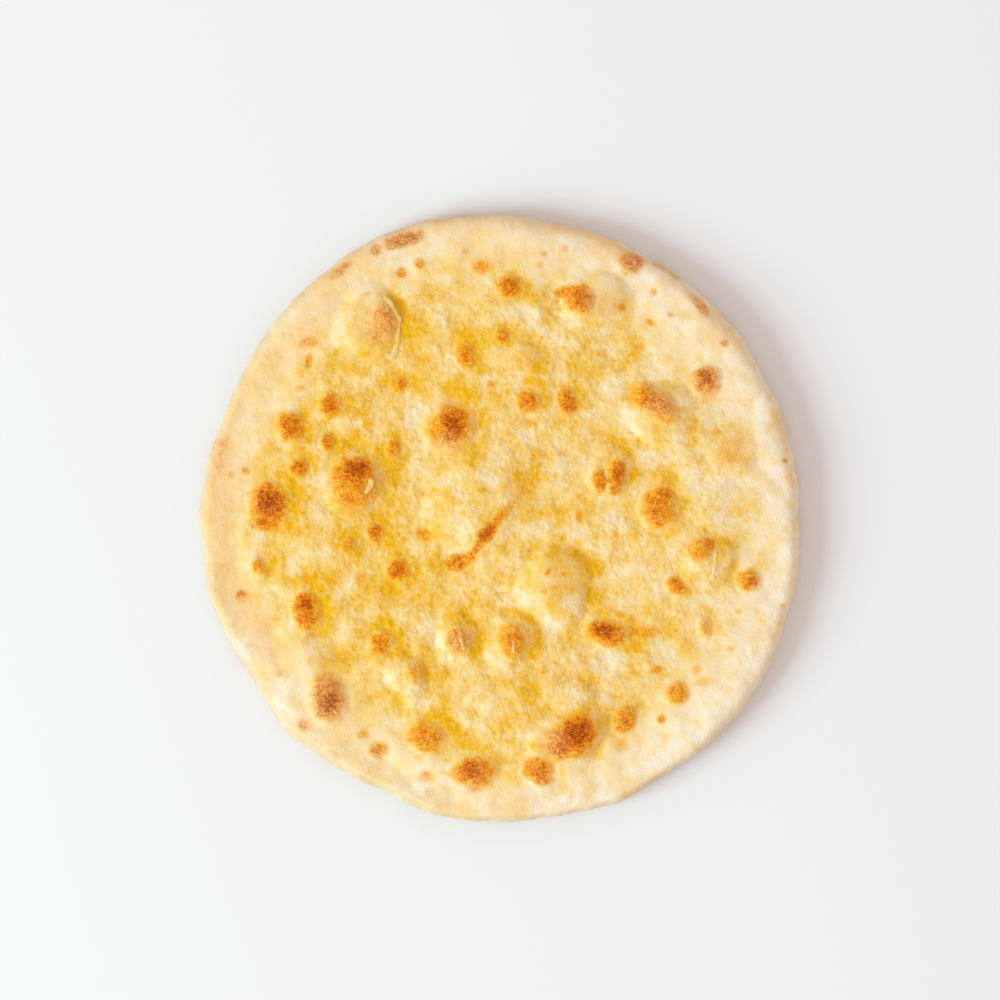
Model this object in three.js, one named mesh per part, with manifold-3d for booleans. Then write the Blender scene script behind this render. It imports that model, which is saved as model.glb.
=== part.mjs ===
// A round cheese focaccia about 300 mm across: a flat disc of leavened dough with a pale rounded
// rim, baked under grated cheese that has melted to a thin blistered sheet over its middle.
// Millimetres, +Z up. The origin is on the table, under the middle of the disc.

import * as THREE from "three";
import { ConvexHull } from "three/addons/math/ConvexHull.js";
import Module from "manifold-3d";

// The disc of dough: radius of its widest edge, every 7.5 degrees from +X towards +Y
const EDGE_RADII = [
  149.5, 150, 149.2, 149.8, 149.6, 150.8, 150.3, 150.8, 150.6, 150.4, 150.6, 150.6,
  151.8, 152.5, 153.2, 153.1, 152, 150.9, 150.3, 148.6, 147.5, 147.9, 147.9, 148.8,
  149.9, 148.7, 150, 149, 147, 148.3, 150.5, 149.1, 147.9, 147.8, 150, 151.8,
  151, 151.3, 152, 153, 152.3, 152.8, 153.4, 153.6, 153.5, 151.9, 151.4, 150.7,
];
const TOP_HEIGHT = 13; // top of the dough between its bubbles
const EDGE_ROUND = 9; // from the widest edge in to the flat top
const EDGE_CURVE = 3; // power of that rounding: 2 for a quarter of an ellipse, more for a flatter top
const EDGE_HEIGHT = 7; // height of the widest edge above the table
const THIN_SIDE = THREE.MathUtils.degToRad(225); // direction of the side that was pressed thin
const THIN_SIDE_ROUND = 6; // from the widest edge in to the flat top there
const THIN_SIDE_DROP = 1.5; // how much lower the widest edge lies there
const BASE_ROUND = 9; // from the widest edge in to the flat underside
const BASE_CURVE = 2; // power of the rounding there
const WAVE_HEIGHT = 0.4; // slow unevenness of the top
const WAVE_LENGTH = 17; // distance over which it changes
const WAVE_PHASES = [1.3, -0.7]; // where its waves start, along x and along y
const RELIEF_FADE = 10; // from the widest edge in to where bubbles stand at full height

// The sheet of melted cheese: radius of its uneven edge, every 15 degrees
const CHEESE_RADII = [
  125, 124, 123, 113, 118, 123, 124, 126, 128, 121, 119, 122,
  126, 125, 116, 112, 116, 121, 126, 128, 119, 116, 117, 124,
];
const CHEESE_THICKNESS = 1.2;
const CHEESE_EDGE_THICKNESS = 0.4;
const CHEESE_TAPER = 7; // width of the border that thins out
const CHEESE_GAP = 0.3; // between the dough and the cheese

// Large pale bubbles in the dough: x, y, half length, half width, turn in degrees, rise
const BUBBLES = [
  [-65, 97, 21, 18, 100, 2.4],
  [28, -33, 22, 19, 70, 3.4],
  [-12, 8, 30, 24, 55, 2.2],
  [47, 108, 20, 16, -10, 2.6],
  [80, 53, 20, 16, -35, 2.4],
  [34, -111, 22, 16, 35, 2.6],
  [54, 22, 15, 13, 85, 1.5],
  [103, -22, 16, 14, 80, 2],
  [5, -60, 15, 14, 90, 1.7],
  [-22, -61, 15, 12, 100, 1.4],
  [-45, -79, 14, 11, 110, 1],
  [35, -87, 15, 11, 0, 1.3],
  [115, 34, 16, 13, 60, 1.4],
  [12, 79, 11, 9, 0, 1.1],
  [-43, -117, 25, 9, -27, 0.9],
  [-100, -66, 20, 11, -52, 1],
  [-124, -10, 18, 8, 85, 0.7],
];
const BUBBLE_FALL = 2.6; // power by which a bubble falls from its middle
const WANDER = 1.8; // how far its outline strays from the oval
const WANDER_LENGTH = 6.5; // distance over which it strays
const WANDER_PHASES = [0.7, 2.1]; // where that starts, along y and along x

// Toasted blisters: x, y, half length and half width of the brown spot, turn in degrees
const BLISTERS = [
  [-115, 7, 11, 9.3, 95],
  [-72.5, 17, 14.2, 13, 90],
  [-104, 46, 7.6, 6.8, 90],
  [-84, 57, 6.4, 5.5, 80],
  [-85.7, 38, 4.5, 3.7, 90],
  [-100, 25.7, 4.8, 4.7, 0],
  [-52.7, 34.8, 5, 3.9, 80],
  [-62, -6.7, 5, 4, 100],
  [-75, -13.2, 4.2, 4, 90],
  [-119.7, -23.7, 5.2, 4, 125],
  [-96.5, -46, 9.5, 7, 100],
  [-50.8, -25.7, 5.7, 5.4, 0],
  [-59.3, -62.2, 6.8, 5.5, 60],
  [-85.7, -90, 12, 9, 100],
  [-60.8, -115.2, 5, 3.8, 10],
  [-37, -108.3, 9.6, 7.4, -20],
  [-13, -125.5, 11.6, 7.6, 5],
  [38, -107.5, 11.5, 9.5, 40],
  [19, -125, 8.6, 6.6, -40],
  [62, -99.8, 7.6, 5.5, 70],
  [88, -87, 6, 5.5, 60],
  [102, -54, 5.5, 3.6, 100],
  [53, -57, 10.5, 6.4, -12],
  [6, -60, 9, 7.4, 100],
  [-21, -60.5, 7.6, 6.8, 110],
  [-42, -77, 6.5, 5, 110],
  [-25, 45, 12.4, 12, 0],
  [5, 115.8, 5.8, 5.7, 0],
  [-17, 81, 6.8, 4.8, 100],
  [1, 91, 4.2, 3.8, 120],
  [-50, 67, 4.6, 4, 10],
  [14, 58.3, 5.8, 5.7, 0],
  [33.7, 58, 7.2, 4.8, 100],
  [39, 109.5, 7.4, 7, -40],
  [-57, 100, 7.5, 6, 100],
  [102.3, 68.8, 7.6, 7.4, 90],
  [78, 57, 13, 6.6, -38],
  [58.2, 22, 8.8, 4.2, 82],
  [49.5, 19.3, 5.9, 3.8, 95],
  [78.7, 5, 10.4, 9, 95],
  [99, -16, 6.2, 5.8, 30],
  [88, -33.2, 6.2, 4.3, -32],
  [123.8, -30.5, 6.2, 5.5, 0],
  [65, 127, 5.7, 5.4, 0],
];
const BLISTER_FOOT = 1.25; // a blister's foot against its brown spot
const BLISTER_RISE = 0.24; // its height against the spot's mean radius
const BLISTER_FALL = 2; // power by which it falls from its middle: rounder than a bubble
const FOOT_SOFTNESS = 1.25; // how gently the foot of either runs out, 1 for a sharp crease

// Shreds of cheese that kept their form: width, then the points that each lies along
const SHREDS = [
  { width: 3.4, along: [[-58, 110.5], [-54, 106], [-50, 99], [-51, 88], [-54, 79]] },
  { width: 2.8, along: [[52.9, 25], [53.6, 20], [55, 13]] },
  { width: 3.4, along: [[106.6, -15], [106.4, -23], [105, -31]] },
  { width: 4.2, along: [[-63.4, 21], [-64.6, 17], [-67.2, 12.8]] },
  { width: 2, along: [[-19.3, -58.5], [-18.6, -62], [-17.4, -65.5]] },
  { width: 2, along: [[6.2, -59.5], [6.9, -63], [6.6, -66.5]] },
];
const SHRED_HEIGHT = 1.2;
const SHRED_LIFT = 0.1; // its middle above the cheese that it has sunk into
const SHRED_STEP = 3; // length between its sections
const SHRED_SIDES = 6;
const SHRED_TIP = 0.55; // share of its section left at each end

// How finely the solids are faceted
const EDGE_SIDES = 112; // straight lengths round the rim
const CHEESE_SIDES = 116; // straight lengths round the cheese
const FIELD_INSET = 8; // inside this the top is laid in scattered points, outside it in rings
const RIM_RING_SHARES = [0.7, 0.36, 0.1, 0]; // rings down over the edge, as shares of its rounding
const BASE_RING_INSETS = [0.8, 3.4, BASE_ROUND]; // rings under it, in to the flat underside
const PLAIN_SPACING = 7.4; // between points on the plain top
const PLAIN_CLEARANCE = 5.55; // least distance of such a point from the others
const RELIEF_SPACING = 2.7; // least distance between points on blisters and bubbles
const BORDER_CLEARANCE = 2.6; // kept free beside the cheese's edge
const BUMP_RINGS = [[0.5, 6], [0.75, 10], [1, 12]]; // rings of points on a bump: share of its foot, count

const DOUGH_FINISH = { color: 0xf3dcae, roughness: 0.8, metalness: 0 };
const CHEESE_FINISH = { color: 0xeec468, roughness: 0.45, metalness: 0 };

const wasm = await Module();
wasm.setup();

const fullTurn = 2 * Math.PI;
const { lerp, smoothstep, degToRad } = THREE.MathUtils;

// A smooth closed curve through radii given at even steps round the disc
function curveThrough(radii, angle) {
  const count = radii.length;
  const place = (((angle / fullTurn) % 1) + 1) * count;
  const step = Math.floor(place);
  const [before, from, to, after] = [-1, 0, 1, 2].map((k) => radii[(step + k) % count]);
  const t = place - step;
  const bend = 2 * before - 5 * from + 4 * to - after;
  const twist = 3 * (from - to) + after - before;
  return from + 0.5 * t * (to - before + t * (bend + t * twist));
}

const edgeRadius = (angle) => curveThrough(EDGE_RADII, angle);
const cheeseRadius = (angle) => curveThrough(CHEESE_RADII, angle);

function towardsThinSide(angle) {
  return 0.5 + 0.5 * Math.cos(angle - THIN_SIDE);
}

const edgeHeight = (angle) => EDGE_HEIGHT - THIN_SIDE_DROP * towardsThinSide(angle) ** 4;
const edgeRound = (angle) => lerp(EDGE_ROUND, THIN_SIDE_ROUND, towardsThinSide(angle));

// Height up a rounded edge, from 0 at its outer end to 1 at its top
function roundedRise(share, curve) {
  return Math.sqrt(1 - (1 - share) ** curve);
}

// The disc without its bubbles: up round the edge to the flat top
function discHeight(inset, angle) {
  const rise = roundedRise(Math.min(inset / edgeRound(angle), 1), EDGE_CURVE);
  return lerp(edgeHeight(angle), TOP_HEIGHT, rise);
}

// The rounded underside of the rim, from the widest edge in to the table
function baseHeight(inset, angle) {
  return edgeHeight(angle) * (1 - roundedRise(inset / BASE_ROUND, BASE_CURVE));
}

const bubbleBumps = BUBBLES.map((bubble) => [...bubble, BUBBLE_FALL]);
const blisterBumps = BLISTERS.map(([x, y, length, width, turn]) => {
  const rise = BLISTER_RISE * Math.sqrt(length * width);
  return [x, y, length * BLISTER_FOOT, width * BLISTER_FOOT, turn, rise, BLISTER_FALL];
});

// A soft dome on an oval foot
function bumpHeight([centreX, centreY, length, width, turn, rise, fall], x, y) {
  const along = Math.cos(degToRad(turn));
  const across = Math.sin(degToRad(turn));
  const u = ((x - centreX) * along + (y - centreY) * across) / length;
  const v = ((y - centreY) * along - (x - centreX) * across) / width;
  return rise * Math.max(0, 1 - Math.hypot(u, v) ** fall) ** FOOT_SOFTNESS;
}

function topHeight(x, y) {
  const angle = Math.atan2(y, x);
  const inset = edgeRadius(angle) - Math.hypot(x, y);
  const waves = Math.sin(x / WAVE_LENGTH + WAVE_PHASES[0]) + Math.cos(y / WAVE_LENGTH + WAVE_PHASES[1]);
  let relief = WAVE_HEIGHT * waves;
  for (const blister of blisterBumps) {
    relief += bumpHeight(blister, x, y);
  }
  const strayedX = x + WANDER * Math.sin(y / WANDER_LENGTH + WANDER_PHASES[0]);
  const strayedY = y + WANDER * Math.sin(x / WANDER_LENGTH + WANDER_PHASES[1]);
  for (const bubble of bubbleBumps) {
    relief += bumpHeight(bubble, strayedX, strayedY);
  }
  return discHeight(Math.max(0, inset), angle) + relief * smoothstep(inset, 0, RELIEF_FADE);
}

function ringPoints(count, radiusAt) {
  return Array.from({ length: count }, (_, i) => {
    const angle = (fullTurn * i) / count;
    return [radiusAt(angle) * Math.cos(angle), radiusAt(angle) * Math.sin(angle)];
  });
}

// Points of the top inside the rim's rings: its border, the cheese's edge, the bumps, the rest.
// Each new point is taken only if it keeps its distance from those already there.
function scatterTopPoints() {
  const fieldRadius = (angle) => edgeRadius(angle) - FIELD_INSET;
  const points = [...ringPoints(EDGE_SIDES, fieldRadius), ...ringPoints(CHEESE_SIDES, cheeseRadius)];
  const offer = ([x, y], distance) => {
    const angle = Math.atan2(y, x);
    const radius = Math.hypot(x, y);
    const nearBorder = radius > fieldRadius(angle) - BORDER_CLEARANCE;
    const nearCheeseEdge = Math.abs(radius - cheeseRadius(angle)) < BORDER_CLEARANCE;
    const crowded = points.some(([px, py]) => Math.hypot(px - x, py - y) < distance);
    if (!nearBorder && !nearCheeseEdge && !crowded) {
      points.push([x, y]);
    }
  };
  for (const [x, y, length, width, turn] of [...blisterBumps, ...bubbleBumps]) {
    offer([x, y], RELIEF_SPACING);
    for (const [share, count] of BUMP_RINGS) {
      for (let k = 0; k < count; k += 1) {
        const around = (fullTurn * (k + share)) / count;
        const along = new THREE.Vector2(length * share * Math.cos(around), width * share * Math.sin(around));
        along.rotateAround(new THREE.Vector2(), degToRad(turn));
        offer([x + along.x, y + along.y], RELIEF_SPACING);
      }
    }
  }
  const reach = Math.max(...EDGE_RADII);
  const rowHeight = PLAIN_SPACING * Math.sqrt(0.75);
  const rows = Math.ceil(reach / rowHeight);
  const columns = Math.ceil(reach / PLAIN_SPACING);
  for (let row = -rows; row <= rows; row += 1) {
    for (let column = -columns; column <= columns; column += 1) {
      offer([(column + (row % 2) / 2) * PLAIN_SPACING, row * rowHeight], PLAIN_CLEARANCE);
    }
  }
  return points;
}

// Triangles between scattered points: the underside of the hull of the points lifted onto a bowl.
// The disc is first drawn to a true circle, so that its border stays convex.
function triangulate(points) {
  const lifted = points.map(([x, y]) => {
    const scale = 1 / (edgeRadius(Math.atan2(y, x)) - FIELD_INSET);
    const spot = new THREE.Vector2(x, y).multiplyScalar(scale);
    return new THREE.Vector3(spot.x, spot.y, spot.lengthSq());
  });
  const numberOf = new Map(lifted.map((point, i) => [point, i]));
  const lowerFaces = new ConvexHull().setFromPoints(lifted).faces.filter((face) => face.normal.z < -1e-6);
  return lowerFaces.map(({ edge }) => {
    return [edge.next.next, edge.next, edge].map((side) => numberOf.get(side.head().point));
  });
}

function geometryOf(points, faces) {
  const geometry = new THREE.BufferGeometry();
  geometry.setAttribute("position", new THREE.Float32BufferAttribute(points.flat(), 3));
  geometry.setIndex(faces.flat());
  geometry.computeVertexNormals();
  return geometry;
}

// Faces of a closed band between two rings of the same count
function bandFaces(inner, outer) {
  return inner.flatMap((point, i) => {
    const next = (i + 1) % inner.length;
    return [
      [point, outer[i], outer[next]],
      [point, outer[next], inner[next]],
    ];
  });
}

// The dough: the scattered top, rings over and under the rim, and a flat underside
function breadGeometry(topPoints, topFaces) {
  const points = topPoints.map(([x, y]) => [x, y, topHeight(x, y)]);
  const faces = [...topFaces];
  let lastRing = Array.from({ length: EDGE_SIDES }, (_, i) => i);
  const addRing = (insetAt, heightAt) => {
    const first = points.length;
    for (const [x, y] of ringPoints(EDGE_SIDES, (angle) => edgeRadius(angle) - insetAt(angle))) {
      points.push([x, y, heightAt(x, y)]);
    }
    const ring = lastRing.map((_, i) => first + i);
    faces.push(...bandFaces(lastRing, ring));
    lastRing = ring;
  };
  for (const share of RIM_RING_SHARES) {
    addRing((angle) => share * edgeRound(angle), topHeight);
  }
  for (const inset of BASE_RING_INSETS) {
    addRing(() => inset, (x, y) => baseHeight(inset, Math.atan2(y, x)));
  }
  const middle = points.push([0, 0, 0]) - 1;
  lastRing.forEach((point, i) => faces.push([point, middle, lastRing[(i + 1) % EDGE_SIDES]]));
  return geometryOf(points, faces);
}

function cheeseThickness(x, y) {
  const inset = cheeseRadius(Math.atan2(y, x)) - Math.hypot(x, y);
  return lerp(CHEESE_EDGE_THICKNESS, CHEESE_THICKNESS, smoothstep(inset, 0, CHEESE_TAPER));
}

// The cheese: a sheet over the triangles inside its edge, closed by a wall round its border
function cheeseSheet(topPoints, topFaces) {
  const inside = topFaces.filter((face) => {
    const x = face.reduce((sum, i) => sum + topPoints[i][0] / 3, 0);
    const y = face.reduce((sum, i) => sum + topPoints[i][1] / 3, 0);
    return Math.hypot(x, y) < cheeseRadius(Math.atan2(y, x));
  });
  const used = [...new Set(inside.flat())];
  const numberOf = new Map(used.map((old, i) => [old, i]));
  const under = used.map((i) => [...topPoints[i], topHeight(...topPoints[i]) + CHEESE_GAP]);
  const over = under.map(([x, y, z]) => [x, y, z + cheeseThickness(x, y)]);
  const sheetFaces = inside.map((face) => face.map((i) => numberOf.get(i)));
  const underFaces = sheetFaces.map((face) => face.toReversed());
  const overFaces = sheetFaces.map((face) => face.map((i) => i + used.length));
  const sides = overFaces.flatMap(([a, b, c]) => [[a, b], [b, c], [c, a]]);
  const sideNames = new Set(sides.map((side) => side.join(" ")));
  const border = sides.filter(([from, to]) => !sideNames.has(`${to} ${from}`));
  const wall = border.flatMap(([from, to]) => [
    [to, from, from - used.length],
    [to, from - used.length, to - used.length],
  ]);
  return { points: [...under, ...over], faces: [...underFaces, ...overFaces, ...wall] };
}

// A shred: a flattened strand with blunt ends, sunk into the cheese that it lies on
function shredStrand({ width, along }, surfaceAt) {
  const route = new THREE.SplineCurve(along.map(([x, y]) => new THREE.Vector2(x, y)));
  const steps = Math.ceil(route.getLength() / SHRED_STEP);
  const points = [];
  const faces = [];
  for (let step = 0; step <= steps; step += 1) {
    const spot = route.getPointAt(step / steps);
    const side = route.getTangentAt(step / steps).rotateAround(new THREE.Vector2(), Math.PI / 2);
    const size = step === 0 || step === steps ? SHRED_TIP : 1;
    const middle = surfaceAt(spot.x, spot.y) + SHRED_LIFT;
    for (let k = 0; k < SHRED_SIDES; k += 1) {
      const around = (fullTurn * (k + 0.5)) / SHRED_SIDES;
      const out = 0.5 * width * size * Math.cos(around);
      const up = 0.5 * SHRED_HEIGHT * size * Math.sin(around);
      points.push([spot.x + side.x * out, spot.y + side.y * out, middle + up]);
    }
  }
  const ring = (step) => Array.from({ length: SHRED_SIDES }, (_, k) => step * SHRED_SIDES + k);
  for (let step = 0; step < steps; step += 1) {
    faces.push(...bandFaces(ring(step + 1), ring(step)));
  }
  for (let k = 1; k < SHRED_SIDES - 1; k += 1) {
    faces.push([ring(0)[0], ring(0)[k + 1], ring(0)[k]]);
    faces.push([ring(steps)[0], ring(steps)[k], ring(steps)[k + 1]]);
  }
  return { points, faces };
}

function solidOf({ points, faces }) {
  const vertProperties = new Float32Array(points.flat());
  const triVerts = new Uint32Array(faces.flat());
  return new wasm.Manifold(new wasm.Mesh({ numProp: 3, vertProperties, triVerts }));
}

// The cheese with its shreds melted onto it
function cheeseGeometry(topPoints, topFaces) {
  const sheet = cheeseSheet(topPoints, topFaces);
  const surface = new THREE.Mesh(geometryOf(sheet.points, sheet.faces));
  const down = new THREE.Vector3(0, 0, -1);
  const surfaceAt = (x, y) => {
    const fromAbove = new THREE.Raycaster(new THREE.Vector3(x, y, 3 * TOP_HEIGHT), down);
    return fromAbove.intersectObject(surface)[0].point.z;
  };
  let solid = solidOf(sheet);
  for (const shred of SHREDS) {
    solid = solid.add(solidOf(shredStrand(shred, surfaceAt)));
  }
  const { vertProperties, triVerts } = solid.getMesh();
  const geometry = new THREE.BufferGeometry();
  geometry.setAttribute("position", new THREE.BufferAttribute(vertProperties, 3));
  geometry.setIndex(new THREE.BufferAttribute(triVerts, 1));
  geometry.computeVertexNormals();
  return geometry;
}

function namedMesh(name, geometry, finish) {
  const mesh = new THREE.Mesh(geometry, new THREE.MeshStandardMaterial(finish));
  mesh.name = name;
  return mesh;
}

const topPoints = scatterTopPoints();
const topFaces = triangulate(topPoints);

const focaccia = new THREE.Group();
focaccia.add(namedMesh("bread", breadGeometry(topPoints, topFaces), DOUGH_FINISH));
focaccia.add(namedMesh("melted_cheese", cheeseGeometry(topPoints, topFaces), CHEESE_FINISH));

export default focaccia;
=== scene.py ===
import math

import bpy
import numpy as np
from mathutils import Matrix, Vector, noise


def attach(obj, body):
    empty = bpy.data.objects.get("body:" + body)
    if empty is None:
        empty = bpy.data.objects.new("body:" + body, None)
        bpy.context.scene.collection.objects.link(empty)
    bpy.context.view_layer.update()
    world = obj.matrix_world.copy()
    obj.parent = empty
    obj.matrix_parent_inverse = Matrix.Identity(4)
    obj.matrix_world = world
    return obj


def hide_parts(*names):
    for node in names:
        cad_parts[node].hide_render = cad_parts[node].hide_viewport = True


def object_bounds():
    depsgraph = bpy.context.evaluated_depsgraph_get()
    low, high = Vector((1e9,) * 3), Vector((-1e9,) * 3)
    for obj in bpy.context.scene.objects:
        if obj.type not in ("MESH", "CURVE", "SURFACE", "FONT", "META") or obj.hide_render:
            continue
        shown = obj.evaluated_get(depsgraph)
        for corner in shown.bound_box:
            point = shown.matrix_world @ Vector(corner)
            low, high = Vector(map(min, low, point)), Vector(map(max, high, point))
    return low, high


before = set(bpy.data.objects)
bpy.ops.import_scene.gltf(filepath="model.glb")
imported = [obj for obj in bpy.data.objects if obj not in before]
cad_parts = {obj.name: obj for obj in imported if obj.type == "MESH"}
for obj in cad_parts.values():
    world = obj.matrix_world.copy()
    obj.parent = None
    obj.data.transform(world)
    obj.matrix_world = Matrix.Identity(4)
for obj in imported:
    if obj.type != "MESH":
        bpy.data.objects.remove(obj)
cad_box = [list(corner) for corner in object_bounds()]

# The bread is a disc of leavened dough, pulled out by hand to about 300 mm and baked on a hot stone.
# Its edge stays a pale rounded rim, gas lifts thin bubbles all over the top, and the highest ones toast.
# Everything else lies on it, so its form and its browning are worked out here and used by the cheese too.

MM = 0.001

# Widest edge, as a radius every 7.5 degrees from +X towards +Y
EDGE_RADII = np.array([
    149.5, 150, 149.2, 149.8, 149.6, 150.8, 150.3, 150.8, 150.6, 150.4, 150.6, 150.6,
    151.8, 152.5, 153.2, 153.1, 152, 150.9, 150.3, 148.6, 147.5, 147.9, 147.9, 148.8,
    149.9, 148.7, 150, 149, 147, 148.3, 150.5, 149.1, 147.9, 147.8, 150, 151.8,
    151, 151.3, 152, 153, 152.3, 152.8, 153.4, 153.6, 153.5, 151.9, 151.4, 150.7,
])

# Section through the rim, which is thinner on the near left side
TOP_HEIGHT = 13
EDGE_HEIGHT = 7
EDGE_ROUND = 9
EDGE_CURVE = 3
BASE_ROUND = 9
THIN_SIDE = math.radians(225)
THIN_SIDE_ROUND = 6
THIN_SIDE_DROP = 1.5


def smooth(value, low, high):
    share = np.clip((value - low) / (high - low), 0, 1)
    return share * share * (3 - 2 * share)


def curve_through(radii, angle):
    """A smooth closed curve through radii given at even steps round the disc."""
    place = (angle / (2 * np.pi)) % 1 * len(radii)
    step = np.floor(place).astype(int)
    before, start, end, after = (radii[(step + offset) % len(radii)] for offset in (-1, 0, 1, 2))
    part = place - step
    bend = 2 * before - 5 * start + 4 * end - after
    twist = 3 * (start - end) + after - before
    return start + 0.5 * part * (end - before + part * (bend + part * twist))


def towards_thin_side(angle):
    return 0.5 + 0.5 * np.cos(angle - THIN_SIDE)


def edge_height(angle):
    return EDGE_HEIGHT - THIN_SIDE_DROP * towards_thin_side(angle) ** 4


def edge_round(angle):
    return EDGE_ROUND + (THIN_SIDE_ROUND - EDGE_ROUND) * towards_thin_side(angle)


# Large pale bubbles: x, y, half length, half width, turn in degrees, rise
BUBBLES = [
    (-65, 97, 21, 18, 100, 2.4), (28, -33, 22, 19, 70, 3.4), (-12, 8, 30, 24, 55, 2.2),
    (47, 108, 20, 16, -10, 2.6), (80, 53, 20, 16, -35, 2.4), (34, -111, 22, 16, 35, 2.6),
    (54, 22, 15, 13, 85, 1.5), (103, -22, 16, 14, 80, 2), (5, -60, 15, 14, 90, 1.7),
    (-22, -61, 15, 12, 100, 1.4), (-45, -79, 14, 11, 110, 1), (35, -87, 15, 11, 0, 1.3),
    (115, 34, 16, 13, 60, 1.4), (12, 79, 11, 9, 0, 1.1), (-43, -117, 25, 9, -27, 0.9),
    (-100, -66, 20, 11, -52, 1), (-124, -10, 18, 8, 85, 0.7),
]
BUBBLE_FALL = 2.6
WANDER = 1.8
WANDER_LENGTH = 6.5
WANDER_START = (0.7, 2.1)

# Toasted blisters: x, y, half length and half width of the brown spot, turn in degrees, toast
BLISTERS = [
    (-115, 7, 11, 9.3, 95, 0.8), (-72.5, 17, 14.2, 13, 90, 0.56), (-104, 46, 7.6, 6.8, 90, 0.75),
    (-84, 57, 6.4, 5.5, 80, 0.75), (-85.7, 38, 4.5, 3.7, 90, 0.62), (-100, 25.7, 4.8, 4.7, 0, 0.66),
    (-52.7, 34.8, 5, 3.9, 80, 0.58), (-62, -6.7, 5, 4, 100, 0.75), (-75, -13.2, 4.2, 4, 90, 0.5),
    (-119.7, -23.7, 5.2, 4, 125, 0.5), (-96.5, -46, 9.5, 7, 100, 0.72),
    (-50.8, -25.7, 5.7, 5.4, 0, 0.8), (-59.3, -62.2, 6.8, 5.5, 60, 0.62), (-85.7, -90, 12, 9, 100, 0.6),
    (-60.8, -115.2, 5, 3.8, 10, 0.45), (-37, -108.3, 9.6, 7.4, -20, 0.62),
    (-13, -125.5, 11.6, 7.6, 5, 0.7), (38, -107.5, 11.5, 9.5, 40, 0.8), (19, -125, 8.6, 6.6, -40, 0.74),
    (62, -99.8, 7.6, 5.5, 70, 0.66), (88, -87, 6, 5.5, 60, 0.55), (102, -54, 5.5, 3.6, 100, 0.32),
    (53, -57, 10.5, 6.4, -12, 0.72), (6, -60, 9, 7.4, 100, 0.6), (-21, -60.5, 7.6, 6.8, 110, 0.55),
    (-42, -77, 6.5, 5, 110, 0.35), (-25, 45, 12.4, 12, 0, 0.52), (5, 115.8, 5.8, 5.7, 0, 0.8),
    (-17, 81, 6.8, 4.8, 100, 0.6), (1, 91, 4.2, 3.8, 120, 0.5), (-50, 67, 4.6, 4, 10, 0.5),
    (14, 58.3, 5.8, 5.7, 0, 0.7), (33.7, 58, 7.2, 4.8, 100, 0.75), (39, 109.5, 7.4, 7, -40, 0.78),
    (-57, 100, 7.5, 6, 100, 0.2), (102.3, 68.8, 7.6, 7.4, 90, 0.66), (78, 57, 13, 6.6, -38, 0.4),
    (58.2, 22, 8.8, 4.2, 82, 0.65), (49.5, 19.3, 5.9, 3.8, 95, 0.58), (78.7, 5, 10.4, 9, 95, 0.66),
    (99, -16, 6.2, 5.8, 30, 0.2), (88, -33.2, 6.2, 4.3, -32, 0.65), (123.8, -30.5, 6.2, 5.5, 0, 0.65),
    (65, 127, 5.7, 5.4, 0, 0.42),
]
BLISTER_FOOT = 1.25
BLISTER_RISE = 0.24
BLISTER_FALL = 2

# Low waves of the whole top, and how all relief begins: softly at its foot, and not on the edge
WAVE_HEIGHT = 0.4
WAVE_LENGTH = 17
WAVE_START = (1.3, -0.7)
FOOT_SOFTNESS = 1.25
RELIEF_FADE = 10


def oval_distance(x, y, centre_x, centre_y, length, width, turn):
    """Distance from an oval's middle, 1 on its edge."""
    along, across = math.cos(math.radians(turn)), math.sin(math.radians(turn))
    lengthwise = ((x - centre_x) * along + (y - centre_y) * across) / length
    crosswise = ((y - centre_y) * along - (x - centre_x) * across) / width
    return np.hypot(lengthwise, crosswise)


def wander(x, y):
    """A place shifted a little, so that an oval drawn there comes out uneven."""
    strayed_x = x + WANDER * np.sin(y / WANDER_LENGTH + WANDER_START[0])
    strayed_y = y + WANDER * np.sin(x / WANDER_LENGTH + WANDER_START[1])
    return strayed_x, strayed_y


def dome(distance, fall):
    """Height of a dome, 1 in its middle and 0 from its edge on."""
    return np.maximum(0, 1 - distance**fall) ** FOOT_SOFTNESS


def dough_height(x, y):
    """Top of the dough: up round the edge to the flat top, with every bubble."""
    angle = np.arctan2(y, x)
    inset = np.maximum(0, curve_through(EDGE_RADII, angle) - np.hypot(x, y))
    over_edge = np.sqrt(1 - (1 - np.minimum(inset / edge_round(angle), 1)) ** EDGE_CURVE)
    height = edge_height(angle) + (TOP_HEIGHT - edge_height(angle)) * over_edge
    waves = np.sin(x / WAVE_LENGTH + WAVE_START[0]) + np.cos(y / WAVE_LENGTH + WAVE_START[1])
    relief = WAVE_HEIGHT * waves
    strayed_x, strayed_y = wander(x, y)
    for *oval, rise in BUBBLES:
        relief += rise * dome(oval_distance(strayed_x, strayed_y, *oval), BUBBLE_FALL)
    for centre_x, centre_y, length, width, turn, _ in BLISTERS:
        foot = (length * BLISTER_FOOT, width * BLISTER_FOOT)
        rise = BLISTER_RISE * math.sqrt(length * width)
        relief += rise * dome(oval_distance(x, y, centre_x, centre_y, *foot, turn), BLISTER_FALL)
    return height + relief * smooth(inset, 0, RELIEF_FADE)


# Unevenness of the dough's skin, in layers: strength, size of the lumps in millimetres, seed
SKIN = [(0.4, 26, 7), (0.34, 9, 5), (0.1, 3.2, 17), (0.03, 1.5, 29)]
DIMPLES = [(1, 6, 41)]
DIMPLE_FROM = 0.55
DIMPLE_DEPTH = 0.25
NOISE_GAIN = 1.4


def uneven(points, layers):
    """Smooth unevenness: each layer rises and falls by about its strength."""
    total = np.zeros(len(points))
    for strength, lump, seed in layers:
        heights = [noise.noise(spot) for spot in (points / lump + seed).tolist()]
        total += strength * (NOISE_GAIN * np.array(heights))
    return total


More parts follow.
